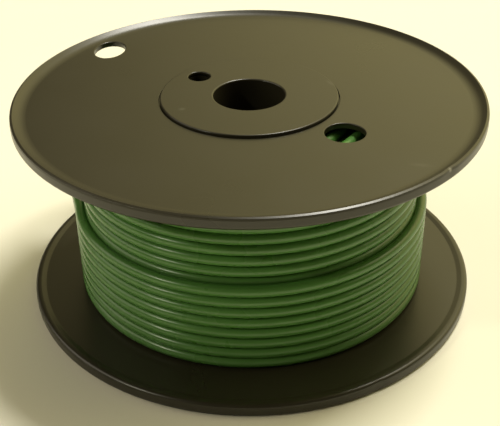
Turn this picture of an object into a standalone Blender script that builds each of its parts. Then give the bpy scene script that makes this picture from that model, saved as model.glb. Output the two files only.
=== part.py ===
"""Wire spool: two moulded flanges on a webbed barrel, held by two hub discs, and wound with insulated wire.

Lengths are in metres. The spool stands on its lower flange: Z is its axis, and the origin is the
centre of the base.
"""

import math

import bmesh
import bpy
from mathutils import Matrix, Vector

MM = 0.001

# Overall sizes
FLANGE_RADIUS = 57.15 * MM
SPOOL_HEIGHT = 51.9 * MM
GAP = 0.3 * MM

# Flange: a thin plate inside a rim that stands proud of its outer face and, as a low lip, of its
# inner one. The lip's width is its flat, and its slope is the way from that down to the plate.
PLATE_THICKNESS = 1.5 * MM
RIM_PROUD_OUTSIDE = 1.2 * MM
RIM_PROUD_INSIDE = 0.3 * MM
RIM_WIDTH = 2.4 * MM
RIM_ROUNDING = 0.9 * MM
RIM_FOOT = 0.45 * MM
RIM_CREST = 0.7 * MM
LIP_WIDTH = 1.5 * MM
LIP_SLOPE = 1.2 * MM
BOSS_DEPTH = 1.0 * MM
SEAT_DEPTH = 0.5 * MM

# Hub disc, with a neck that snaps into the barrel's core
BORE_RADIUS = 8.72 * MM
HUB_OVERLAP = 1.48 * MM
HUB_PROUD = 0.7 * MM
HUB_ROUNDING = 0.3 * MM
NECK_WALL = 1.5 * MM
NECK_LENGTH = 9.0 * MM
SNAP_HEIGHT = 0.35 * MM
SNAP_WIDTH = 1.6 * MM
BORE_CHAMFER = 0.4 * MM

# Barrel: an outer tube and a core tube, joined by webs
BARREL_RADIUS = 20.2 * MM
BARREL_WALL = 1.5 * MM
CORE_WALL = 1.5 * MM
WEB_COUNT = 6
WEB_THICKNESS = 1.4 * MM
WEB_BITE = 0.5 * MM
DRIVE_RELIEF_DEPTH = 12.0 * MM

# Holes in each flange. Each has an angle about the axis and a distance from a neighbour: the rim hole
# from the rim, the lead hole from the barrel's outside, the drive hole from the barrel's inside.
RIM_HOLE_INSET = 8.65 * MM
RIM_HOLE_ANGLE = math.radians(140.6)
RIM_HOLE_LENGTH = 11.2 * MM
RIM_HOLE_WIDTH = 8.1 * MM
RIM_HOLE_LEAN = math.radians(82.0)
LEAD_HOLE_OUTSET = 8.9 * MM
LEAD_HOLE_ANGLE = math.radians(-42.2)
LEAD_HOLE_DIAMETER = 9.4 * MM
DRIVE_HOLE_INSET = 2.1 * MM
DRIVE_HOLE_ANGLE = math.radians(139.0)
DRIVE_HOLE_DIAMETER = 5.6 * MM

# Wire and winding
WIRE_DIAMETER = 2.8 * MM
CONDUCTOR_DIAMETER = 1.7 * MM
CONDUCTOR_CLEARANCE = 0.1 * MM
CONDUCTOR_PROUD = 0.4 * MM
CONDUCTOR_END_LENGTH = 12.0 * MM
FULL_LAYERS = 9
TOP_LAYER_TURNS = 8
TURN_SLACK = 0.02 * MM
TOP_LAYER_LEAN = 0.6 * MM

# The wire's outer end leaves the top layer behind the spool, runs down over the turns and is tucked
# into the rim hole of the lower flange. Each point is (distance from the axis, angle, height).
OUTER_END_ROUTE = (
    (46.7 * MM, 168.0, 22.4 * MM),
    (46.8 * MM, 162.0, 19.7 * MM),
    (46.9 * MM, 156.0, 16.2 * MM),
    (47.1 * MM, 150.5, 12.4 * MM),
    (47.4 * MM, 145.5, 8.7 * MM),
    (47.9 * MM, 141.2, 5.3 * MM),
    (48.5 * MM, 137.6, 2.3 * MM),
    (48.9 * MM, 136.0, 1.1 * MM),
)
OUTER_END_POINTS = 28
CURVE_STEPS = 12

# Round pieces: steps round a turn, round a hole and in a rounded corner. Edges sharper than the
# angle below are shaded as edges.
TURN_STEPS = 64
HOLE_STEPS = 24
CORNER_STEPS = 3
EDGE_ANGLE = math.radians(35)

# Sizes that follow from those above
FLANGE_INNER_FACE = RIM_PROUD_OUTSIDE + PLATE_THICKNESS
NECK_RADIUS = BORE_RADIUS + NECK_WALL
CORE_BORE = NECK_RADIUS + GAP
CORE_RADIUS = CORE_BORE + CORE_WALL
BARREL_BORE = BARREL_RADIUS - BARREL_WALL
BOSS_RADIUS = BARREL_BORE - GAP
HUB_RADIUS = BARREL_RADIUS + HUB_OVERLAP
SNAP_CENTRE = RIM_PROUD_OUTSIDE - HUB_PROUD + NECK_LENGTH - SNAP_WIDTH
RIM_HOLE_PLACE = (FLANGE_RADIUS - RIM_HOLE_INSET, RIM_HOLE_ANGLE)
LEAD_HOLE_PLACE = (BARREL_RADIUS + LEAD_HOLE_OUTSET, LEAD_HOLE_ANGLE)
DRIVE_HOLE_PLACE = (BARREL_BORE - DRIVE_HOLE_INSET, DRIVE_HOLE_ANGLE)
INSULATION_BORE = CONDUCTOR_DIAMETER + 2 * CONDUCTOR_CLEARANCE
TURN_PITCH = WIRE_DIAMETER + TURN_SLACK

# Each layer's turns lie in the grooves of the one below it
LAYER_PITCH = math.sqrt(WIRE_DIAMETER**2 - (TURN_PITCH / 2) ** 2)
WINDING_RADIUS = BARREL_RADIUS + GAP + FULL_LAYERS * LAYER_PITCH
TOP_LAYER_RADIUS = WINDING_RADIUS + LAYER_PITCH

BLACK_PLASTIC = ("black_plastic", (0.022, 0.021, 0.018), 0.38, 0.0)
GREEN_PVC = ("green_pvc", (0.045, 0.13, 0.03), 0.35, 0.0)
COPPER = ("copper", (0.78, 0.38, 0.2), 0.3, 1.0)


def clear_scene():
    for old in list(bpy.data.objects):
        bpy.data.objects.remove(old, do_unlink=True)


def new_collection(name):
    collection = bpy.data.collections.new(name)
    bpy.context.scene.collection.children.link(collection)
    return collection


def material(spec):
    """The named material, made the first time it is asked for."""
    name, colour, roughness, metallic = spec
    found = bpy.data.materials.get(name)
    if found:
        return found
    made = bpy.data.materials.new(name)
    made.use_nodes = True
    shader = made.node_tree.nodes["Principled BSDF"]
    shader.inputs["Base Color"].default_value = (*colour, 1.0)
    shader.inputs["Roughness"].default_value = roughness
    shader.inputs["Metallic"].default_value = metallic
    return made


def add_object(name, mesh, collection, spec=None):
    made = bpy.data.objects.new(name, mesh)
    collection.objects.link(made)
    if spec:
        mesh.materials.append(material(spec))
    return made


def smooth(obj):
    obj.data.shade_smooth()
    obj.data.set_sharp_from_angle(angle=EDGE_ANGLE)


def polar(distance, angle, height=0.0):
    return Vector((distance * math.cos(angle), distance * math.sin(angle), height))


def arc(centre_r, centre_z, radius, start, end):
    """Points of a rounded corner in the profile plane, from one angle to another in degrees."""
    points = []
    for step in range(CORNER_STEPS + 1):
        angle = math.radians(start + (end - start) * step / CORNER_STEPS)
        points.append((centre_r + radius * math.cos(angle), centre_z + radius * math.sin(angle)))
    return points


def turned(name, profile, collection, spec=None):
    """A ring turned from a closed profile of (radius, height) points, listed outwards along its top."""
    work = bmesh.new()
    corners = [work.verts.new((radius, 0.0, height)) for radius, height in profile]
    for index, corner in enumerate(corners):
        work.edges.new((corner, corners[(index + 1) % len(corners)]))
    mesh = bpy.data.meshes.new(name)
    work.to_mesh(mesh)
    work.free()
    obj = add_object(name, mesh, collection, spec)
    screw = obj.modifiers.new("turn", "SCREW")
    screw.axis = "Z"
    screw.steps = TURN_STEPS
    screw.render_steps = TURN_STEPS
    screw.merge_threshold = 0.0001
    screw.use_merge_vertices = True
    return obj


def round_cutter(name, place, diameter, bottom, top, collection, length=None, lean=0.0):
    """A straight cutter for a round hole or, with a length, for an oval one that leans from X."""
    work = bmesh.new()
    bmesh.ops.create_cone(
        work,
        cap_ends=True,
        segments=HOLE_STEPS,
        radius1=diameter / 2,
        radius2=diameter / 2,
        depth=top - bottom,
    )
    stretch = Matrix.Diagonal(((length or diameter) / diameter, 1.0, 1.0, 1.0))
    shift = Matrix.Translation(polar(*place, (top + bottom) / 2))
    bmesh.ops.transform(
        work, matrix=shift @ Matrix.Rotation(lean, 4, "Z") @ stretch, verts=work.verts
    )
    mesh = bpy.data.meshes.new(name)
    work.to_mesh(mesh)
    work.free()
    return hide_helper(add_object(name, mesh, collection))


def hide_helper(obj):
    obj.hide_render = True
    obj.display_type = "WIRE"
    return obj


def boolean(target, other, operation):
    modifier = target.modifiers.new(f"{operation.lower()}_{other.name}", "BOOLEAN")
    modifier.operation = operation
    modifier.object = other
    modifier.solver = "EXACT"


def turn_over(obj):
    """Puts a piece made for the upper end at the lower end, turned over about the drive hole's line."""
    line = polar(1.0, DRIVE_HOLE_ANGLE)
    obj.rotation_mode = "QUATERNION"
    obj.rotation_quaternion = Matrix.Rotation(math.pi, 3, line).to_quaternion()
    return obj


def flange_profile():
    """The flange's outer face is up, and height 0 is the top of its rim."""
    plate_top = -RIM_PROUD_OUTSIDE
    plate_bottom = -FLANGE_INNER_FACE
    rim_bottom = plate_bottom - RIM_PROUD_INSIDE
    rim_inside = FLANGE_RADIUS - RIM_WIDTH
    rim_centre = FLANGE_RADIUS - RIM_ROUNDING
    seat_radius = HUB_RADIUS + GAP
    points = [
        (CORE_BORE, plate_top - SEAT_DEPTH),
        (seat_radius, plate_top - SEAT_DEPTH),
        (seat_radius, plate_top),
        (rim_inside - RIM_FOOT, plate_top),
        (rim_inside + RIM_FOOT, -RIM_ROUNDING / 2),
        (rim_centre - RIM_CREST, 0.0),
    ]
    points += arc(rim_centre, -RIM_ROUNDING, RIM_ROUNDING, 90, 0)
    points += arc(rim_centre, rim_bottom + RIM_ROUNDING, RIM_ROUNDING, 0, -90)
    points += [
        (FLANGE_RADIUS - LIP_WIDTH, rim_bottom),
        (FLANGE_RADIUS - LIP_WIDTH - LIP_SLOPE, plate_bottom),
        (BOSS_RADIUS, plate_bottom),
        (BOSS_RADIUS, plate_bottom - BOSS_DEPTH),
        (CORE_BORE, plate_bottom - BOSS_DEPTH),
    ]
    return points


def make_flange(name, parts, cutters):
    flange = turned(name, flange_profile(), parts, BLACK_PLASTIC)
    bottom = -FLANGE_INNER_FACE - 2 * BOSS_DEPTH
    top = RIM_PROUD_OUTSIDE
    holes = (
        round_cutter(
            name + "_rim_hole",
            RIM_HOLE_PLACE,
            RIM_HOLE_WIDTH,
            bottom,
            top,
            cutters,
            RIM_HOLE_LENGTH,
            RIM_HOLE_LEAN,
        ),
        round_cutter(name + "_lead_hole", LEAD_HOLE_PLACE, LEAD_HOLE_DIAMETER, bottom, top, cutters),
        round_cutter(name + "_drive_hole", DRIVE_HOLE_PLACE, DRIVE_HOLE_DIAMETER, bottom, top, cutters),
    )
    for hole in holes:
        hole.parent = flange
        boolean(flange, hole, "DIFFERENCE")
    smooth(flange)
    return flange


def hub_profile():
    """The hub disc's head is up, in the same heights as the flange."""
    head_top = -RIM_PROUD_OUTSIDE + HUB_PROUD
    head_bottom = -RIM_PROUD_OUTSIDE - SEAT_DEPTH + GAP
    neck_bottom = head_top - NECK_LENGTH
    snap = -SNAP_CENTRE
    points = [
        (BORE_RADIUS, head_top - BORE_CHAMFER),
        (BORE_RADIUS + BORE_CHAMFER, head_top),
    ]
    points += arc(HUB_RADIUS - HUB_ROUNDING, head_top - HUB_ROUNDING, HUB_ROUNDING, 90, 0)
    points += [
        (HUB_RADIUS, head_bottom),
        (NECK_RADIUS, head_bottom),
        (NECK_RADIUS, snap + SNAP_WIDTH / 2),
        (NECK_RADIUS + SNAP_HEIGHT, snap),
        (NECK_RADIUS, snap - SNAP_WIDTH / 2),
        (NECK_RADIUS, neck_bottom),
        (BORE_RADIUS, neck_bottom),
    ]
    return points


def make_hub(name, parts, cutters):
    hub = turned(name, hub_profile(), parts, BLACK_PLASTIC)
    hole = round_cutter(
        name + "_drive_hole",
        DRIVE_HOLE_PLACE,
        DRIVE_HOLE_DIAMETER,
        -FLANGE_INNER_FACE,
        RIM_PROUD_OUTSIDE,
        cutters,
    )
    hole.parent = hub
    boolean(hub, hole, "DIFFERENCE")
    smooth(hub)
    return hub


def core_profile(bottom, top):
    """The core tube, with a groove for each hub neck's snap ridge."""
    groove = SNAP_HEIGHT
    upper = SPOOL_HEIGHT - SNAP_CENTRE
    half = SNAP_WIDTH / 2 + GAP
    return [
        (CORE_BORE, top),
        (CORE_RADIUS, top),
        (CORE_RADIUS, bottom),
        (CORE_BORE, bottom),
        (CORE_BORE, SNAP_CENTRE - half),
        (CORE_BORE + groove, SNAP_CENTRE),
        (CORE_BORE, SNAP_CENTRE + half),
        (CORE_BORE, upper - half),
        (CORE_BORE + groove, upper),
        (CORE_BORE, upper + half),
    ]


def make_webs(bottom, top, cutters):
    """The webs in one mesh. Each reaches a little way into both tubes, and none meets the drive hole."""
    inner = CORE_RADIUS - WEB_BITE
    outer = BARREL_BORE + WEB_BITE
    work = bmesh.new()
    for index in range(WEB_COUNT):
        angle = DRIVE_HOLE_ANGLE + (index + 0.5) * math.tau / WEB_COUNT
        size = Matrix.Diagonal((outer - inner, WEB_THICKNESS, top - bottom, 1.0))
        shift = Matrix.Translation(((outer + inner) / 2, 0.0, (top + bottom) / 2))
        bmesh.ops.create_cube(work, size=1.0, matrix=Matrix.Rotation(angle, 4, "Z") @ shift @ size)
    mesh = bpy.data.meshes.new("webs")
    work.to_mesh(mesh)
    work.free()
    return hide_helper(add_object("webs", mesh, cutters))


def make_barrel(parts, cutters):
    bottom = FLANGE_INNER_FACE + GAP
    top = SPOOL_HEIGHT - bottom
    inner_bottom = FLANGE_INNER_FACE + BOSS_DEPTH + GAP
    inner_top = SPOOL_HEIGHT - inner_bottom
    tube = [
        (BARREL_BORE, top),
        (BARREL_RADIUS, top),
        (BARREL_RADIUS, bottom),
        (BARREL_BORE, bottom),
    ]
    barrel = turned("barrel", tube, parts, BLACK_PLASTIC)
    core = hide_helper(turned("core", core_profile(inner_bottom, inner_top), cutters))
    webs = make_webs(inner_bottom + GAP, inner_top - GAP, cutters)
    boolean(webs, core, "UNION")
    boolean(barrel, webs, "UNION")
    depth = DRIVE_RELIEF_DEPTH
    for end, low, high in (
        ("lower", bottom - depth, bottom + depth),
        ("upper", top - depth, top + depth),
    ):
        relief = round_cutter(
            f"{end}_drive_relief",
            DRIVE_HOLE_PLACE,
            DRIVE_HOLE_DIAMETER + GAP / 2,
            low,
            high,
            cutters,
        )
        boolean(barrel, relief, "DIFFERENCE")
    smooth(barrel)
    return barrel


def make_winding(parts):
    """The outer shape of the full layers."""
    bottom = FLANGE_INNER_FACE + GAP
    top = SPOOL_HEIGHT - bottom
    inner = BARREL_RADIUS + GAP
    profile = [(inner, top), (WINDING_RADIUS, top), (WINDING_RADIUS, bottom), (inner, bottom)]
    winding = turned("wire_full_layers", profile, parts, GREEN_PVC)
    smooth(winding)
    return winding


def make_top_layer(parts):
    """The outer shape of the layer that is only part wound."""
    bottom = FLANGE_INNER_FACE + GAP
    wound = (TOP_LAYER_TURNS - 1) * TURN_PITCH + WIRE_DIAMETER
    top = FLANGE_INNER_FACE + TOP_LAYER_LEAN + wound
    inner = WINDING_RADIUS + GAP
    profile = [(inner, top), (TOP_LAYER_RADIUS, top), (TOP_LAYER_RADIUS, bottom), (inner, bottom)]
    layer = turned("wire_top_layer", profile, parts, GREEN_PVC)
    smooth(layer)
    return layer


def smooth_route(points, count):
    """Evenly spaced points on a Catmull-Rom curve through the route's own points."""
    ends = [2 * points[0] - points[1], *points, 2 * points[-1] - points[-2]]
    fine = []
    for index in range(len(points) - 1):
        before, start, end, after = ends[index : index + 4]
        for step in range(CURVE_STEPS):
            t = step / CURVE_STEPS
            fine.append(
                0.5
                * (
                    2 * start
                    + (end - before) * t
                    + (2 * before - 5 * start + 4 * end - after) * t**2
                    + (3 * start - before - 3 * end + after) * t**3
                )
            )
    fine.append(points[-1])
    reach = [0.0]
    for first, second in zip(fine, fine[1:]):
        reach.append(reach[-1] + (second - first).length)
    even = []
    place = 0
    for index in range(count):
        wanted = reach[-1] * index / (count - 1)
        while place < len(reach) - 2 and reach[place + 1] < wanted:
            place += 1
        share = (wanted - reach[place]) / (reach[place + 1] - reach[place])
        even.append(fine[place].lerp(fine[place + 1], share))
    return even


def tube_along(name, points, diameter, collection, spec=None):
    curve = bpy.data.curves.new(name, "CURVE")
    curve.dimensions = "3D"
    curve.bevel_depth = diameter / 2
    curve.bevel_resolution = 2
    curve.use_fill_caps = True
    spline = curve.splines.new("POLY")
    spline.points.add(len(points) - 1)
    for target, point in zip(spline.points, points):
        target.co = (*point, 1.0)
    made = bpy.data.objects.new(name, curve)
    collection.objects.link(made)
    if spec:
        curve.materials.append(material(spec))
    return made


def meshed(obj):
    """The curve as a mesh object with welded caps, because a curve takes no Boolean."""
    bpy.context.view_layer.update()
    graph = bpy.context.evaluated_depsgraph_get()
    mesh = bpy.data.meshes.new_from_object(obj.evaluated_get(graph))
    work = bmesh.new()
    work.from_mesh(mesh)
    bmesh.ops.remove_doubles(work, verts=work.verts, dist=1e-6)
    bmesh.ops.recalc_face_normals(work, faces=work.faces)
    work.to_mesh(mesh)
    work.free()
    name = obj.name
    place = obj.matrix_world.copy()
    collection = obj.users_collection[0]
    bpy.data.objects.remove(obj, do_unlink=True)
    made = add_object(name, mesh, collection)
    made.matrix_world = place
    return made


def make_outer_end(parts, cutters):
    """The insulation's free end, open at its tip, and the conductor that shows there."""
    own = [polar(distance, math.radians(angle), height) for distance, angle, height in OUTER_END_ROUTE]
    route = smooth_route(own, OUTER_END_POINTS)
    tip_way = (route[-1] - route[-2]).normalized()
    step = (route[-1] - route[-2]).length
    core_steps = max(2, round(CONDUCTOR_END_LENGTH / step))
    core_route = route[-1 - core_steps :]
    insulation = meshed(tube_along("wire_outer_end", route, WIRE_DIAMETER, parts, GREEN_PVC))
    past_tip = route[-1] + tip_way * GAP
    opening = meshed(tube_along("insulation_bore", core_route + [past_tip], INSULATION_BORE, cutters))
    hide_helper(opening)
    boolean(insulation, opening, "DIFFERENCE")
    smooth(insulation)
    proud_tip = route[-1] + tip_way * CONDUCTOR_PROUD
    conductor = meshed(
        tube_along("conductor_outer_end", core_route[1:] + [proud_tip], CONDUCTOR_DIAMETER, parts, COPPER)
    )
    smooth(conductor)
    return insulation, conductor


def main():
    clear_scene()
    parts = new_collection("wire_spool")
    cutters = new_collection("cutters")
    cutters.hide_render = True
    for make, kind in ((make_flange, "flange"), (make_hub, "hub")):
        upper = make(f"upper_{kind}", parts, cutters)
        upper.location.z = SPOOL_HEIGHT
        turn_over(make(f"lower_{kind}", parts, cutters))
    make_barrel(parts, cutters)
    make_winding(parts)
    make_top_layer(parts)
    make_outer_end(parts, cutters)


main()
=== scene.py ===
"""The looks of the wire spool: smooth moulded plastic and the wire's real turns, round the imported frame.

Lengths are in metres, in the frame's own place: Z is the spool's axis and the origin is the centre of
the base. Overall sizes are read from the frame. What the frame's boxes can't give, such as walls, the
holes' places and the wire's end, is named here with the design's values.
"""

import math

import bmesh
import bpy
import numpy as np
from mathutils import Matrix, Vector


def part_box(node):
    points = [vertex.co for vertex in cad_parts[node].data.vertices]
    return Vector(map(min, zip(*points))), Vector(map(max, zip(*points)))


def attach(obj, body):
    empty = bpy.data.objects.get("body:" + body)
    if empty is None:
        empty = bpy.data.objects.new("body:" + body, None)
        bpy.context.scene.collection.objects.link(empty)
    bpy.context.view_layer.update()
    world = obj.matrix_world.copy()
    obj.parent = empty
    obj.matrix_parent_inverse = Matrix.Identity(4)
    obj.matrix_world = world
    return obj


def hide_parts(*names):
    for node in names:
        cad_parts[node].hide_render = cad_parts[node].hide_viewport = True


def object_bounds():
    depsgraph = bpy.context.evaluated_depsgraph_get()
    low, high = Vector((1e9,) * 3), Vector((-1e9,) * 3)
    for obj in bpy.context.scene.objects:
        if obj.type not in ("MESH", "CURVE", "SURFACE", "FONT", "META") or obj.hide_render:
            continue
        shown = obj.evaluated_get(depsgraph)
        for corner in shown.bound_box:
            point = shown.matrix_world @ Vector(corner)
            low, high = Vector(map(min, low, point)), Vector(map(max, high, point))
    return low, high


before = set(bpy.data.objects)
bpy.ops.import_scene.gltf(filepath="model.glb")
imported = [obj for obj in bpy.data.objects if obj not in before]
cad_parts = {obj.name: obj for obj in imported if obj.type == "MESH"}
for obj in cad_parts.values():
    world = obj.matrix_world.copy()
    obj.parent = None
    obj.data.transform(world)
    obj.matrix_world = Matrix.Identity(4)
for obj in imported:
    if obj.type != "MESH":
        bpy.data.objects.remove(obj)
frame_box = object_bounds()

MM = 0.001
BODY = "root"

# From the frame
SPOOL_HEIGHT = frame_box[1].z
FLANGE_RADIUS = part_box("upper_flange")[1].x
HUB_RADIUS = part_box("upper_hub")[1].x
BARREL_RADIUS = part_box("barrel")[1].x
BARREL_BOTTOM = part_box("barrel")[0].z
HUB_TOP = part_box("upper_hub")[1].z
NECK_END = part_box("upper_hub")[0].z
BOSS_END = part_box("upper_flange")[0].z

# Fits and walls, as the design has them
GAP = 0.3 * MM
PLATE_THICKNESS = 1.5 * MM
RIM_PROUD_OUTSIDE = 1.2 * MM
RIM_PROUD_INSIDE = 0.3 * MM
LIP_WIDTH = 1.5 * MM
LIP_SLOPE = 1.2 * MM
LIP_ROUNDING = 1.2 * MM
SEAT_DEPTH = 0.5 * MM
BORE_RADIUS = 8.72 * MM
NECK_WALL = 1.5 * MM
SNAP_HEIGHT = 0.35 * MM
SNAP_WIDTH = 1.6 * MM
BARREL_WALL = 1.5 * MM
CORE_WALL = 1.5 * MM
WEB_COUNT = 6
WEB_THICKNESS = 1.4 * MM
DRIVE_RELIEF_DEPTH = 12.0 * MM

# The rim's look, finer than the design's: a cove up to its crest, and a crest that slopes down to the
# outer wall
RIM_WIDTH = 2.5 * MM
RIM_COVE = 4.0 * MM
RIM_ROUNDING = 0.9 * MM
CREST_INSIDE = 0.65 * MM
CREST_OUTSIDE = 0.12 * MM
CREST_DROP = 0.23 * MM
CREST_ROUNDING = 0.12 * MM
WALL_TOP_DROP = 0.69 * MM
WALL_TOP_ROUNDING = 0.4 * MM

# Small roundings of the other edges
FLANGE_HOLE_LIP = 0.22 * MM
HUB_HOLE_LIP = 0.25 * MM
SEAT_EDGE = 0.12 * MM
BOSS_EDGE = 0.15 * MM
BOSS_FOOT = 0.25 * MM
EDGE = 0.2 * MM
SOFT_EDGE = 0.3 * MM
BORE_EDGE = 0.4 * MM

# Holes. A place is the distance from the axis and the angle.
RIM_HOLE_PLACE = (48.5 * MM, math.radians(140.6))
RIM_HOLE_LENGTH = 11.2 * MM
RIM_HOLE_WIDTH = 8.1 * MM
RIM_HOLE_LEAN = math.radians(82.0)
LEAD_HOLE_PLACE = (29.1 * MM, math.radians(-42.2))
LEAD_HOLE_DIAMETER = 9.4 * MM
DRIVE_HOLE_PLACE = (16.6 * MM, math.radians(139.0))
DRIVE_HOLE_DIAMETER = 5.6 * MM

# Worked out from the values above
FLANGE_INNER_FACE = RIM_PROUD_OUTSIDE + PLATE_THICKNESS
NECK_RADIUS = BORE_RADIUS + NECK_WALL
CORE_BORE = NECK_RADIUS + GAP
CORE_RADIUS = CORE_BORE + CORE_WALL
BARREL_BORE = BARREL_RADIUS - BARREL_WALL
BOSS_RADIUS = BARREL_BORE - GAP

# Wire
WIRE_DIAMETER = 2.8 * MM
INSULATION_BORE = 1.9 * MM
STRAND_DIAMETER = 0.34 * MM
STRAND_RINGS = (1, 6, 12)
STRAND_LENGTH = 12.0 * MM
STRANDS_PROUD = 0.4 * MM
STRAND_STEP = 0.5 * MM
STRAND_SIDES = 10
STRAND_CLOSENESS = 0.99
STRAND_LAY = 34.0 * MM
END_BORE_RINGS = 2

# Winding. Its front is the stretch that the turns climb on, from FRONT_START on, in degrees.
TURN_PITCH = 2.82 * MM
TOP_LAYER_PITCH = 2.88 * MM
LAYER_PITCH = 2.42 * MM
LAYERS = 10
FULL_LAYER_TURNS = 16
TOP_LAYER_TURNS = 8
FIRST_LAYER_GAP = 0.08 * MM
FIRST_LAYER_RADIUS = BARREL_RADIUS + WIRE_DIAMETER / 2 + FIRST_LAYER_GAP
LOWEST_TURN = FLANGE_INNER_FACE + WIRE_DIAMETER / 2
HIGHEST_TURN = SPOOL_HEIGHT - LOWEST_TURN
INNER_LAYERS_TOP = LOWEST_TURN + (FULL_LAYER_TURNS - 1) * TURN_PITCH
GROOVE_TURN = INNER_LAYERS_TOP - TURN_PITCH / 2
FRONT_START = 10.0
FRONT_SWEEP = 200.0
FRONT_RISE = 1.2 * MM
TURNS_TO_FULL_RISE = 6

# Fineness of the wire: points to a turn in the outer layers and in the others, and sides
FINE_LAYERS = 2
FINE_STEPS = 108
PLAIN_STEPS = 36
WIRE_SIDES = 12

# Where the wire leaves its last turn, and its way down to the lower flange's rim hole, as distance
# from the axis, angle in degrees and height. The second list is the design's route.
LIFT_ROUTE = (
    (44.2 * MM, 183.0, 23.55 * MM),
    (45.6 * MM, 176.0, 23.3 * MM),
)
OUTER_END_ROUTE = (
    (46.7 * MM, 168.0, 22.4 * MM),
    (46.8 * MM, 162.0, 19.7 * MM),
    (46.9 * MM, 156.0, 16.2 * MM),
    (47.1 * MM, 150.5, 12.4 * MM),
    (47.4 * MM, 145.5, 8.7 * MM),
    (47.9 * MM, 141.2, 5.3 * MM),
    (48.5 * MM, 137.6, 2.3 * MM),
    (48.9 * MM, 136.0, 1.1 * MM),
)
LIFT_STARTS = 188.0
OUTER_END_STEP = 0.9 * MM

# The path's points that the strands at each cut end follow
OUTER_END_POINTS = 16
INNER_END_POINTS = 8

# Colours, each as the darker and the lighter of its mottle
BLACK = ((0.020, 0.018, 0.010), (0.028, 0.025, 0.014))
# The scuffs' colour, which also paints the glint at the upper rim's knock
SCUFF_AND_GLINT_GREY = (0.30, 0.29, 0.24)
GREEN = ((0.062, 0.172, 0.034), (0.077, 0.204, 0.043))
COPPER = ((0.62, 0.27, 0.13), (0.86, 0.44, 0.24))
PALE = ((0.81, 0.79, 0.67), (0.84, 0.82, 0.70))

# Light of the room: its colours in front of the spool and behind it to the right, the direction of
# the bright side, and how far towards it the room starts to brighten
WORLD_FRONT = (0.085, 0.068, 0.042)
WORLD_BACK = (1.66, 1.44, 0.61)
WORLD_BRIGHT_SIDE = (0.6, 0.6, 0.53)
WORLD_TURNS_BRIGHT = 0.58

# Lamps: name, place, width, height, power and colour. All of them shine at the spool's middle.
LAMPS = (
    ("key", (0.41, 0.44, 1.48), 0.50, 0.32, 22.0, (1.0, 0.97, 0.88)),
    ("left", (-0.69, -0.40, 0.6), 0.05, 0.05, 1.5, (1.0, 0.97, 0.75)),
    ("left_wall", (-0.85, 0.1, 0.6), 0.7, 0.7, 2.4, (1.0, 0.9, 0.70)),
    ("right", (0.80, 0.16, 0.85), 0.6, 0.6, 1.35, (1.0, 0.93, 0.72)),
)
LAMPS_AIM = (0.0, 0.0, 0.03)

FLOOR_HALF_SIZE = 3.0
FLOOR_DROP = 0.2 * MM

# Viewing place and angles
CAMERA_PLACE = (0.0, -0.21265, 0.15093)
CAMERA_PITCH = math.radians(32.149)
CAMERA_ROLL = math.radians(-0.774)
CAMERA_YAW = math.radians(-0.049)
CAMERA_LENS = 69.085
CAMERA_NEAREST = 5.0 * MM

# Light scuffs of the plastic, and last a painted glint on the upper rim's knock, whitened there as well:
# place, half-sizes, turn about Z and strength
SCUFFS_AND_GLINT = (
    ((-15.9 * MM, -7.8 * MM, 51.4 * MM), (1.1 * MM, 0.9 * MM, 1.0 * MM), 0.4, 0.12),
    ((20.1 * MM, 5.8 * MM, 51.4 * MM), (0.6 * MM, 2.2 * MM, 1.0 * MM), 0.5, 0.09),
    ((36.3 * MM, -34.9 * MM, 50.7 * MM), (3.2 * MM, 1.0 * MM, 1.0 * MM), -0.2, 0.07),
    # A painted glint on the knocked upper rim edge, which also stands for the whitening there
    ((42.1 * MM, -38.8 * MM, 51.5 * MM), (0.7 * MM, 1.2 * MM, 0.7 * MM), 0.84, 1.2),
)

# Knocks in the outer edges of the flanges: angle in degrees, height, reach and depth
UPPER_KNOCK = (-42.7, 51.6 * MM, 1.9 * MM, 0.3 * MM)
LOWER_KNOCK = (-60.0, 1.5 * MM, 2.1 * MM, 0.35 * MM)

# A hole's rounded lip starts this far inside the face, so that the cut never lies in the face
SKIN = 0.01 * MM
CUTTER_PAST = 1.5 * MM
WELD = SKIN / 10

# An edge is a plate's when both its ends are this near the plate, and a face is flat above this
# upward part of its normal. Edges sharper than the angles stay sharp.
LEVEL_WITHIN = 0.002 * MM
FLAT_NORMAL = 0.99999
MOULDING_SHARP = math.radians(40.0)
WIRE_SHARP = math.radians(50.0)

ROUND_STEPS = 240
HOLE_STEPS = 72
FILLET_STEPS = 5


# ---------------------------------------------------------------- shapes


def polar(distance, angle, height=0.0):
    return Vector((distance * math.cos(angle), distance * math.sin(angle), height))


def filleted(corners):
    """A closed outline of (x, y, radius) corners as points, each corner rounded to its radius."""
    points = []
    for index, (x, y, radius) in enumerate(corners):
        here = Vector((x, y))
        if radius == 0.0:
            points.append(here)
            continue
        before = Vector(corners[index - 1][:2])
        after = Vector(corners[(index + 1) % len(corners)][:2])
        back = (before - here).normalized()
        ahead = (after - here).normalized()
        half = back.angle(ahead) / 2
        reach = radius / math.tan(half)
        centre = here + (back + ahead).normalized() * radius / math.sin(half)
        start = here + back * reach - centre
        end = here + ahead * reach - centre
        turn = start.angle_signed(end)
        for step in range(FILLET_STEPS + 1):
            angle = -turn * step / FILLET_STEPS
            points.append(centre + Matrix.Rotation(angle, 2) @ start)
    return points


def new_object(name, mesh, material=None):
    made = bpy.data.objects.new(name, mesh)
    bpy.context.scene.collection.objects.link(made)
    if material:
        mesh.materials.append(material)
    return made


def turned(name, corners, material=None):
    """A ring turned from filleted corners of (radius, height, rounding), outwards along the top."""
    work = bmesh.new()
    ring = [work.verts.new((point.x, 0.0, point.y)) for point in filleted(corners)]
    for index, corner in enumerate(ring):
        work.edges.new((corner, ring[(index + 1) % len(ring)]))
    mesh = bpy.data.meshes.new(name)
    work.to_mesh(mesh)
    work.free()
    obj = new_object(name, mesh, material)
    screw = obj.modifiers.new("turn", "SCREW")
    screw.axis = "Z"
    screw.steps = ROUND_STEPS
    screw.render_steps = ROUND_STEPS
    screw.merge_threshold = 0.00001
    screw.use_merge_vertices = True
    return obj


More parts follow.
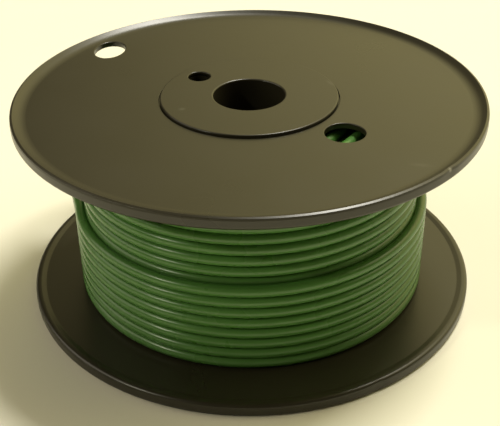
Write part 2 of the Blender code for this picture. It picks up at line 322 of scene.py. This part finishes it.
def hole_cutter(name, place, diameter, faces, flare, length=None, lean=0.0):
    """A cutter for a hole between two faces, flared at each so that the hole's lips are rounded."""
    bottom, top = faces
    bottom += SKIN
    top -= SKIN
    radius = diameter / 2
    past = CUTTER_PAST
    outline = [(radius + flare, bottom - past), (radius + flare, bottom)]
    for step in range(1, FILLET_STEPS + 1):
        angle = math.pi / 2 * step / FILLET_STEPS
        outline.append((radius + flare * (1 - math.sin(angle)), bottom + flare * (1 - math.cos(angle))))
    outline += [(rim, top + bottom - height) for rim, height in reversed(outline)]
    work = bmesh.new()
    rings = []
    for rim, height in outline:
        ring = []
        for step in range(HOLE_STEPS):
            angle = math.tau * step / HOLE_STEPS
            ring.append(work.verts.new(polar(rim, angle, height)))
        rings.append(ring)
    for lower, upper in zip(rings, rings[1:]):
        for step in range(HOLE_STEPS):
            after = (step + 1) % HOLE_STEPS
            work.faces.new((lower[step], lower[after], upper[after], upper[step]))
    work.faces.new(list(reversed(rings[0])))
    work.faces.new(rings[-1])
    stretch = Matrix.Diagonal(((length or diameter) / diameter, 1.0, 1.0, 1.0))
    shift = Matrix.Translation(polar(*place))
    bmesh.ops.transform(
        work, matrix=shift @ Matrix.Rotation(lean, 4, "Z") @ stretch, verts=work.verts
    )
    mesh = bpy.data.meshes.new(name)
    work.to_mesh(mesh)
    work.free()
    return new_object(name, mesh)


def box_cutter(name, matrix):
    work = bmesh.new()
    bmesh.ops.create_cube(work, size=1.0, matrix=matrix)
    mesh = bpy.data.meshes.new(name)
    work.to_mesh(mesh)
    work.free()
    return new_object(name, mesh)


def combine(target, others, operation):
    """Joins or cuts the target with each of the others, keeps the result's mesh and removes them."""
    for other in others:
        modifier = target.modifiers.new(other.name, "BOOLEAN")
        modifier.operation = operation
        modifier.object = other
        modifier.solver = "EXACT"
    bpy.context.view_layer.update()
    graph = bpy.context.evaluated_depsgraph_get()
    mesh = bpy.data.meshes.new_from_object(target.evaluated_get(graph))
    work = bmesh.new()
    work.from_mesh(mesh)
    bmesh.ops.remove_doubles(work, verts=work.verts, dist=WELD)
    bmesh.ops.dissolve_degenerate(work, edges=work.edges, dist=WELD)
    work.to_mesh(mesh)
    work.free()
    target.modifiers.clear()
    target.data = mesh
    for other in others:
        bpy.data.objects.remove(other, do_unlink=True)
    return target


def shade(obj, plates=()):
    """Smooth shading. Faces level with the given heights are plates, and stay flat up to their edges."""
    obj.data.shade_smooth()
    obj.data.set_sharp_from_angle(angle=MOULDING_SHARP)
    work = bmesh.new()
    work.from_mesh(obj.data)
    for edge in work.edges:
        low, high = (corner.co.z for corner in edge.verts)
        level = any(max(abs(low - plate), abs(high - plate)) < LEVEL_WITHIN for plate in plates)
        flat = [abs(face.normal.z) > FLAT_NORMAL for face in edge.link_faces]
        if level and any(flat) and not all(flat):
            edge.smooth = False
    work.to_mesh(obj.data)
    work.free()
    weighted = obj.modifiers.new("plate_normals", "WEIGHTED_NORMAL")
    weighted.keep_sharp = True
    weighted.weight = 100
    return obj


def turn_over(obj):
    """Moves a piece made for the upper end to the lower end, turned over about the drive hole's line."""
    line = polar(1.0, DRIVE_HOLE_PLACE[1])
    obj.data.transform(Matrix.Rotation(math.pi, 4, line))
    return obj


def lift(obj):
    obj.data.transform(Matrix.Translation((0.0, 0.0, SPOOL_HEIGHT)))
    return obj


def dent(obj, angle, height, reach, depth):
    """Pushes the surface near a point of the outer edge in towards the axis, as a knock does."""
    inward = -polar(1.0, math.radians(angle))
    place = polar(FLANGE_RADIUS, math.radians(angle), height)
    for vertex in obj.data.vertices:
        gap = (vertex.co - place).length / reach
        if gap < 1.0:
            vertex.co += inward * depth * (1.0 - gap * gap) ** 2
    return obj


# ---------------------------------------------------------------- spool


def flange_corners():
    """The flange with its outer face up. Height 0 is the top of its rim."""
    plate_top = -RIM_PROUD_OUTSIDE
    plate_bottom = -FLANGE_INNER_FACE
    rim_bottom = plate_bottom - RIM_PROUD_INSIDE
    rim_inside = FLANGE_RADIUS - RIM_WIDTH
    boss_bottom = BOSS_END - SPOOL_HEIGHT
    seat = HUB_RADIUS + GAP
    return [
        (CORE_BORE, plate_top - SEAT_DEPTH, 0.0),
        (seat, plate_top - SEAT_DEPTH, 0.0),
        (seat, plate_top, SEAT_EDGE),
        (rim_inside, plate_top, RIM_COVE),
        (FLANGE_RADIUS - CREST_INSIDE, 0.0, CREST_ROUNDING),
        (FLANGE_RADIUS - CREST_OUTSIDE, -CREST_DROP, CREST_ROUNDING),
        (FLANGE_RADIUS, -WALL_TOP_DROP, WALL_TOP_ROUNDING),
        (FLANGE_RADIUS, rim_bottom, RIM_ROUNDING),
        (FLANGE_RADIUS - LIP_WIDTH, rim_bottom, LIP_ROUNDING),
        (FLANGE_RADIUS - LIP_WIDTH - LIP_SLOPE, plate_bottom, LIP_ROUNDING),
        (BOSS_RADIUS, plate_bottom, BOSS_FOOT),
        (BOSS_RADIUS, boss_bottom, BOSS_EDGE),
        (CORE_BORE, boss_bottom, 0.0),
    ]


def make_flange(name, material):
    flange = turned(name, flange_corners(), material)
    faces = (-FLANGE_INNER_FACE, -RIM_PROUD_OUTSIDE)
    boss = (BOSS_END - SPOOL_HEIGHT, -RIM_PROUD_OUTSIDE - SEAT_DEPTH)
    lip = FLANGE_HOLE_LIP
    cutters = [
        hole_cutter(
            "rim", RIM_HOLE_PLACE, RIM_HOLE_WIDTH, faces, lip, RIM_HOLE_LENGTH, RIM_HOLE_LEAN
        ),
        hole_cutter("lead", LEAD_HOLE_PLACE, LEAD_HOLE_DIAMETER, faces, lip),
        hole_cutter("drive", DRIVE_HOLE_PLACE, DRIVE_HOLE_DIAMETER, boss, 0.0),
    ]
    return shade(combine(flange, cutters, "DIFFERENCE"), faces)


def make_hub(name, material):
    """The hub disc with its head up, in the flange's heights."""
    head_top = HUB_TOP - SPOOL_HEIGHT
    head_bottom = -RIM_PROUD_OUTSIDE - SEAT_DEPTH + GAP
    neck_bottom = NECK_END - SPOOL_HEIGHT
    snap = neck_bottom + SNAP_WIDTH
    corners = [
        (BORE_RADIUS, head_top, BORE_EDGE),
        (HUB_RADIUS, head_top, SOFT_EDGE),
        (HUB_RADIUS, head_bottom, 0.0),
        (NECK_RADIUS, head_bottom, 0.0),
        (NECK_RADIUS, snap + SNAP_WIDTH / 2, 0.0),
        (NECK_RADIUS + SNAP_HEIGHT, snap, EDGE),
        (NECK_RADIUS, snap - SNAP_WIDTH / 2, 0.0),
        (NECK_RADIUS, neck_bottom, EDGE),
        (BORE_RADIUS, neck_bottom, SOFT_EDGE),
    ]
    hub = turned(name, corners, material)
    head = (head_bottom, head_top)
    hole = hole_cutter("drive", DRIVE_HOLE_PLACE, DRIVE_HOLE_DIAMETER, head, HUB_HOLE_LIP)
    return shade(combine(hub, [hole], "DIFFERENCE"), [head_top])


def make_barrel(material):
    bottom = BARREL_BOTTOM
    top = SPOOL_HEIGHT - bottom
    inner_bottom = SPOOL_HEIGHT - BOSS_END + GAP
    inner_top = SPOOL_HEIGHT - inner_bottom
    tube = [
        (BARREL_BORE, top, EDGE),
        (BARREL_RADIUS, top, SOFT_EDGE),
        (BARREL_RADIUS, bottom, SOFT_EDGE),
        (BARREL_BORE, bottom, EDGE),
    ]
    snap = SPOOL_HEIGHT - NECK_END - SNAP_WIDTH
    half = SNAP_WIDTH / 2 + GAP
    core = [
        (CORE_BORE, inner_top, SOFT_EDGE),
        (CORE_RADIUS, inner_top, EDGE),
        (CORE_RADIUS, inner_bottom, EDGE),
        (CORE_BORE, inner_bottom, SOFT_EDGE),
        (CORE_BORE, snap - half, 0.0),
        (CORE_BORE + SNAP_HEIGHT, snap, 0.0),
        (CORE_BORE, snap + half, 0.0),
        (CORE_BORE, SPOOL_HEIGHT - snap - half, 0.0),
        (CORE_BORE + SNAP_HEIGHT, SPOOL_HEIGHT - snap, 0.0),
        (CORE_BORE, SPOOL_HEIGHT - snap + half, 0.0),
    ]
    barrel = turned("barrel_moulding", tube, material)
    joined = [turned("core", core)]
    inner = CORE_RADIUS - CORE_WALL / 3
    outer = BARREL_BORE + BARREL_WALL / 3
    size = Matrix.Diagonal((outer - inner, WEB_THICKNESS, inner_top - inner_bottom - 2 * GAP, 1.0))
    shift = Matrix.Translation(((outer + inner) / 2, 0.0, SPOOL_HEIGHT / 2))
    for index in range(WEB_COUNT):
        angle = DRIVE_HOLE_PLACE[1] + (index + 0.5) * math.tau / WEB_COUNT
        joined.append(box_cutter(f"web_{index}", Matrix.Rotation(angle, 4, "Z") @ shift @ size))
    combine(barrel, joined, "UNION")
    depth = DRIVE_RELIEF_DEPTH
    relief = DRIVE_HOLE_DIAMETER + GAP / 2
    reliefs = [
        hole_cutter(f"relief_{low:.3f}", DRIVE_HOLE_PLACE, relief, (low, low + depth), 0.0)
        for low in (bottom, top - depth)
    ]
    return shade(combine(barrel, reliefs, "DIFFERENCE"))


# ---------------------------------------------------------------- wire


def turn_ends(layer, turn):
    """Heights of a turn's right and left ends. Layers are wound downwards and upwards in turn.

    A layer's first turn lies flat on its flange, and the turns after it take up the slope. The inner
    layers stop short of the upper flange. Those wound downwards start in the groove of the layer
    below, half a turn lower, and lie tighter.
    """
    if layer % 2 == 1:
        pitch = TOP_LAYER_PITCH if layer == LAYERS - 1 else TURN_PITCH
        middle = LOWEST_TURN + turn * pitch
    elif layer == LAYERS - 2:
        middle = HIGHEST_TURN - turn * TURN_PITCH
    else:
        middle = GROOVE_TURN - turn * (GROOVE_TURN - LOWEST_TURN) / (FULL_LAYER_TURNS - 1)
    rise = FRONT_RISE * min(1.0, turn / TURNS_TO_FULL_RISE)
    return middle + rise / 2, middle - rise / 2


def eased(share):
    return share * share * (3.0 - 2.0 * share)


def curve_through(points, step):
    """Evenly spaced points on a Catmull-Rom curve through the given points."""
    ends = [2 * points[0] - points[1], *points, 2 * points[-1] - points[-2]]
    fine = []
    pieces = 16
    for index in range(len(points) - 1):
        before, start, end, after = ends[index : index + 4]
        for piece in range(pieces):
            t = piece / pieces
            fine.append(
                0.5
                * (
                    2 * start
                    + (end - before) * t
                    + (2 * before - 5 * start + 4 * end - after) * t**2
                    + (3 * start - before - 3 * end + after) * t**3
                )
            )
    fine.append(points[-1])
    line = np.array(fine)
    along = np.concatenate([[0.0], np.cumsum(np.linalg.norm(np.diff(line, axis=0), axis=1))])
    at = np.linspace(0.0, along[-1], max(2, round(along[-1] / step)))
    return [Vector([np.interp(place, along, line[:, axis]) for axis in range(3)]) for place in at]


def wire_path():
    """The wire's centreline, from its inner end on the barrel to its outer end in the rim hole."""
    points = []
    for layer in range(LAYERS):
        radius = FIRST_LAYER_RADIUS + layer * LAYER_PITCH
        top_layer = layer == LAYERS - 1
        turns = TOP_LAYER_TURNS if top_layer else FULL_LAYER_TURNS
        steps = FINE_STEPS if layer >= LAYERS - FINE_LAYERS else PLAIN_STEPS
        front_steps = round(steps * FRONT_SWEEP / 360.0)
        back_steps = steps - front_steps
        for turn in range(turns):
            right, left = turn_ends(layer, turn)
            last_turn = turn == turns - 1
            for step in range(front_steps):
                share = step / front_steps
                angle = FRONT_START - FRONT_SWEEP * share
                if top_layer and last_turn and angle < LIFT_STARTS - 360.0:
                    break
                points.append(polar(radius, math.radians(angle), right + (left - right) * share))
            if top_layer and last_turn:
                break
            next_radius = radius + LAYER_PITCH * last_turn
            next_right = turn_ends(layer + 1, 0)[0] if last_turn else turn_ends(layer, turn + 1)[0]
            for step in range(back_steps):
                share = step / back_steps
                angle = FRONT_START - FRONT_SWEEP - (360.0 - FRONT_SWEEP) * share
                height = left + (next_right - left) * eased(share)
                distance = radius + (next_radius - radius) * eased(share)
                points.append(polar(distance, math.radians(angle), height))
    leaving = [
        polar(distance, math.radians(angle), height)
        for distance, angle, height in LIFT_ROUTE + OUTER_END_ROUTE
    ]
    return points[:-1] + curve_through([points[-1], *leaving], OUTER_END_STEP)


def carried_frames(path):
    """Points, tangents and two crosswise directions at each point, carried along without twisting."""
    line = np.array(path)
    ahead = np.gradient(line, axis=0)
    ahead /= np.linalg.norm(ahead, axis=1)[:, None]
    side = np.zeros_like(line)
    side[0] = np.cross(ahead[0], (0.0, 0.0, 1.0))
    side[0] /= np.linalg.norm(side[0])
    for index in range(1, len(line)):
        carried = side[index - 1] - ahead[index] * np.dot(side[index - 1], ahead[index])
        side[index] = carried / np.linalg.norm(carried)
    return line, ahead, side, np.cross(ahead, side)


def ring_points(centre, side, up, radius, sides):
    angles = np.arange(sides) * math.tau / sides
    return centre + radius * (np.cos(angles)[:, None] * side + np.sin(angles)[:, None] * up)


def tube_faces(rings, sides, first):
    """Faces of a closed tube of rings, whose ends are shut with a face each."""
    faces = []
    for ring in range(rings - 1):
        low = first + ring * sides
        for step in range(sides):
            after = (step + 1) % sides
            faces.append((low + step, low + after, low + sides + after, low + sides + step))
    faces.append(tuple(first + step for step in reversed(range(sides))))
    faces.append(tuple(first + (rings - 1) * sides + step for step in range(sides)))
    return faces


def make_wire(path, material):
    """The insulation as one tube, with a short bore at each cut end for the strands."""
    line, _, side, up = carried_frames(path)
    radius = WIRE_DIAMETER / 2
    bore = INSULATION_BORE / 2
    inset = END_BORE_RINGS
    rings = [(index, radius) for index in range(len(line))]
    rings = [(inset, bore), (0, bore)] + rings + [(len(line) - 1, bore), (len(line) - 1 - inset, bore)]
    points = np.concatenate(
        [ring_points(line[at], side[at], up[at], size, WIRE_SIDES) for at, size in rings]
    )
    mesh = bpy.data.meshes.new("wire")
    mesh.from_pydata(points.tolist(), [], tube_faces(len(rings), WIRE_SIDES, 0))
    mesh.shade_smooth()
    mesh.set_sharp_from_angle(angle=WIRE_SHARP)
    return new_object("wire", mesh, material)


def make_strands(name, path, material):
    """The twisted copper strands inside the insulation at the end of a path, standing a little proud."""
    tip_way = (path[-1] - path[-2]).normalized()
    line = curve_through([*path, path[-1] + tip_way * STRANDS_PROUD], STRAND_STEP)
    kept = round(STRAND_LENGTH / STRAND_STEP)
    centres, _, side, up = carried_frames(line[-kept:])
    points = []
    faces = []
    for ring, count in enumerate(STRAND_RINGS):
        for strand in range(count):
            first = len(points)
            for index, centre in enumerate(centres):
                turn = math.tau * (strand / count + index * STRAND_STEP / STRAND_LAY)
                away = (math.cos(turn) * side[index] + math.sin(turn) * up[index]) * ring
                place = centre + away * STRAND_DIAMETER * STRAND_CLOSENESS
                ring_here = ring_points(
                    place, side[index], up[index], STRAND_DIAMETER / 2, STRAND_SIDES
                )
                points.extend(ring_here.tolist())
            faces += tube_faces(len(centres), STRAND_SIDES, first)
    mesh = bpy.data.meshes.new(name)
    mesh.from_pydata(points, [], faces)
    mesh.shade_smooth()
    mesh.set_sharp_from_angle(angle=WIRE_SHARP)
    return new_object(name, mesh, material)


# ---------------------------------------------------------------- materials


# Most of a noise's values lie between these
NOISE_LOW = 0.3
NOISE_HIGH = 0.7


class Nodes:
    """Adds nodes to a material's tree and links them, in few words."""

    def __init__(self, name):
        self.material = bpy.data.materials.new(name)
        self.material.use_nodes = True
        self.tree = self.material.node_tree
        self.shader = self.tree.nodes["Principled BSDF"]
        self.place = self.tree.nodes.new("ShaderNodeTexCoord").outputs["Object"]

    def add(self, kind, inputs=None, **settings):
        node = self.tree.nodes.new(kind)
        for name, value in settings.items():
            setattr(node, name, value)
        for key, value in (inputs or {}).items():
            if isinstance(value, bpy.types.NodeSocket):
                self.tree.links.new(value, node.inputs[key])
            else:
                node.inputs[key].default_value = value
        return node

    def math(self, operation, first, second=0.0):
        return self.add("ShaderNodeMath", {0: first, 1: second}, operation=operation).outputs[0]

    def noise(self, scale, detail=3.0, stretch=(1.0, 1.0, 1.0), vector=None):
        mapped = self.add("ShaderNodeMapping", {"Vector": vector or self.place, "Scale": stretch})
        inputs = {"Vector": mapped.outputs[0], "Scale": scale, "Detail": detail}
        return self.add("ShaderNodeTexNoise", inputs).outputs["Fac"]

    def spread(self, noise, low, high):
        """The middle of a noise spread over the values from low to high."""
        inputs = {
            "Value": noise,
            "From Min": NOISE_LOW,
            "From Max": NOISE_HIGH,
            "To Min": low,
            "To Max": high,
        }
        return self.add("ShaderNodeMapRange", inputs, clamp=True).outputs[0]

    def mark(self, place, size, turn):
        """One in the middle of a spot of the given half-sizes, falling to nothing at its edge."""
        inputs = {"Vector": self.place, "Location": place, "Rotation": (0.0, 0.0, turn), "Scale": size}
        local = self.add("ShaderNodeMapping", inputs, vector_type="TEXTURE").outputs[0]
        return self.add("ShaderNodeTexGradient", {0: local}, gradient_type="SPHERICAL").outputs["Fac"]

    def mix(self, share, first, second):
        inputs = {0: share, 7: (*second, 1.0)}
        inputs[6] = first if isinstance(first, bpy.types.NodeSocket) else (*first, 1.0)
        return self.add("ShaderNodeMix", inputs, data_type="RGBA").outputs[2]

    def bump(self, height, strength, distance):
        inputs = {"Height": height, "Strength": strength, "Distance": distance}
        return self.add("ShaderNodeBump", inputs).outputs[0]

    def feed(self, name, value):
        if isinstance(value, bpy.types.NodeSocket):
            self.tree.links.new(value, self.shader.inputs[name])
        else:
            self.shader.inputs[name].default_value = value


def plastic_material():
    """Black moulded plastic: a fine satin grain, a faint mottle, a few scuffs, and a painted glint on the
    upper rim's knock, whitened there as well.
    """
    nodes = Nodes("black_plastic")
    mottle = nodes.noise(45.0, detail=4.0)
    scuffs_and_glint = 0.0
    # The last spot is a painted glint at the upper rim's knock, laid over its whitening
    for place, size, turn, strength in SCUFFS_AND_GLINT:
        spot = nodes.mark(place, size, turn)
        scuffs_and_glint = nodes.math("ADD", scuffs_and_glint, nodes.math("MULTIPLY", spot, strength))
    base = nodes.mix(mottle, *BLACK)
    nodes.feed("Base Color", nodes.mix(scuffs_and_glint, base, SCUFF_AND_GLINT_GREY))
    grain = nodes.noise(2600.0, detail=2.0)
    nodes.feed("Roughness", nodes.spread(mottle, 0.27, 0.33))
    nodes.feed("Normal", nodes.bump(grain, 0.25, 0.02 * MM))
    return nodes.material


def insulation_material():
    """Green PVC: a smooth drawn skin with faint lines along the wire and dull patches from handling."""
    nodes = Nodes("green_insulation")
    place = nodes.add("ShaderNodeSeparateXYZ", {0: nodes.place})
    angle = nodes.math("ARCTAN2", place.outputs["Y"], place.outputs["X"])
    squares = nodes.math(
        "ADD",
        nodes.math("MULTIPLY", place.outputs["X"], place.outputs["X"]),
        nodes.math("MULTIPLY", place.outputs["Y"], place.outputs["Y"]),
    )
    distance = nodes.math("SQRT", squares)
    wound = nodes.add(
        "ShaderNodeCombineXYZ",
        {0: nodes.math("MULTIPLY", angle, 0.04), 1: distance, 2: place.outputs["Z"]},
    ).outputs[0]
    tone = nodes.noise(90.0, detail=2.0, vector=wound)
    nodes.feed("Base Color", nodes.mix(tone, *GREEN))
    drawn = nodes.noise(900.0, detail=3.0, stretch=(0.12, 1.0, 1.0), vector=wound)
    patches = nodes.noise(70.0, detail=3.0)
    rough = nodes.spread(patches, 0.25, 0.31)
    nodes.feed("Roughness", rough)
    nodes.feed("Specular IOR Level", 0.5)
    nodes.feed("Normal", nodes.bump(drawn, 0.12, 0.03 * MM))
    return nodes.material


def copper_material():
    nodes = Nodes("copper_strands")
    tone = nodes.noise(700.0, detail=3.0)
    nodes.feed("Base Color", nodes.mix(tone, *COPPER))
    nodes.feed("Metallic", 1.0)
    nodes.feed("Roughness", nodes.spread(tone, 0.22, 0.42))
    nodes.feed("Normal", nodes.bump(tone, 0.1, 0.01 * MM))
    return nodes.material


def floor_material():
    nodes = Nodes("pale_paper")
    tone = nodes.noise(9.0, detail=5.0)
    nodes.feed("Base Color", nodes.mix(tone, *PALE))
    nodes.feed("Roughness", 0.9)
    nodes.feed("Specular IOR Level", 0.2)
    return nodes.material


# ---------------------------------------------------------------- stage


def area_light(name, place, width, height, power, colour):
    data = bpy.data.lights.new(name, "AREA")
    data.shape = "RECTANGLE"
    data.size = width
    data.size_y = height
    data.energy = power
    data.color = colour
    lamp = bpy.data.objects.new(name, data)
    bpy.context.scene.collection.objects.link(lamp)
    lamp.location = place
    lamp.rotation_euler = (Vector(LAMPS_AIM) - Vector(place)).to_track_quat("-Z", "Y").to_euler()


def make_world():
    world = bpy.data.worlds.new("room")
    bpy.context.scene.world = world
    world.use_nodes = True
    tree = world.node_tree
    place = tree.nodes.new("ShaderNodeTexCoord").outputs["Generated"]
    toward = tree.nodes.new("ShaderNodeVectorMath")
    toward.operation = "DOT_PRODUCT"
    toward.inputs[1].default_value = WORLD_BRIGHT_SIDE
    tree.links.new(place, toward.inputs[0])
    ramp = tree.nodes.new("ShaderNodeValToRGB")
    ramp.color_ramp.elements[0].position = WORLD_TURNS_BRIGHT
    ramp.color_ramp.elements[0].color = (*WORLD_FRONT, 1.0)
    ramp.color_ramp.elements[1].position = 1.0
    ramp.color_ramp.elements[1].color = (*WORLD_BACK, 1.0)
    tree.links.new(toward.outputs["Value"], ramp.inputs["Fac"])
    tree.links.new(ramp.outputs["Color"], tree.nodes["Background"].inputs["Color"])


def make_stage():
    work = bmesh.new()
    bmesh.ops.create_grid(work, x_segments=1, y_segments=1, size=FLOOR_HALF_SIZE)
    mesh = bpy.data.meshes.new("floor")
    work.to_mesh(mesh)
    work.free()
    floor = new_object("floor", mesh, floor_material())
    floor.location.z = -FLOOR_DROP
    make_world()
    for lamp in LAMPS:
        area_light(*lamp)


def make_camera():
    """The viewing place and angle, aimed with a small roll."""
    pitch = CAMERA_PITCH
    yaw = CAMERA_YAW
    ahead = Vector(
        (math.sin(yaw) * math.cos(pitch), math.cos(yaw) * math.cos(pitch), -math.sin(pitch))
    )
    right = Vector((math.cos(yaw), -math.sin(yaw), 0.0))
    up = right.cross(ahead)
    across = math.cos(CAMERA_ROLL) * right + math.sin(CAMERA_ROLL) * up
    rising = -math.sin(CAMERA_ROLL) * right + math.cos(CAMERA_ROLL) * up
    data = bpy.data.cameras.new("camera")
    data.lens = CAMERA_LENS
    data.sensor_width = 36.0
    data.clip_start = CAMERA_NEAREST
    camera = bpy.data.objects.new("camera", data)
    bpy.context.scene.collection.objects.link(camera)
    axes = Matrix((across, rising, -ahead)).transposed()
    camera.matrix_world = Matrix.Translation(CAMERA_PLACE) @ axes.to_4x4()
    bpy.context.scene.camera = camera


def main():
    bpy.context.scene.view_settings.view_transform = "Standard"
    make_camera()
    plastic = plastic_material()
    insulation = insulation_material()
    copper = copper_material()

    path = wire_path()
    wire = make_wire(path, insulation)
    outer = make_strands("outer_end_strands", path[-OUTER_END_POINTS:], copper)
    inner = make_strands("inner_end_strands", path[:INNER_END_POINTS][::-1], copper)
    for piece in (wire, outer, inner):
        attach(piece, BODY)
    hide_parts("wire_full_layers", "wire_top_layer", "wire_outer_end")
    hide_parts("conductor_outer_end")

    mouldings = {
        "upper_flange": dent(lift(make_flange("upper_flange_moulding", plastic)), *UPPER_KNOCK),
        "lower_flange": dent(turn_over(make_flange("lower_flange_moulding", plastic)), *LOWER_KNOCK),
        "upper_hub": lift(make_hub("upper_hub_moulding", plastic)),
        "lower_hub": turn_over(make_hub("lower_hub_moulding", plastic)),
        "barrel": make_barrel(plastic),
    }
    for node, piece in mouldings.items():
        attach(piece, BODY)
        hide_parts(node)

    make_stage()


main()
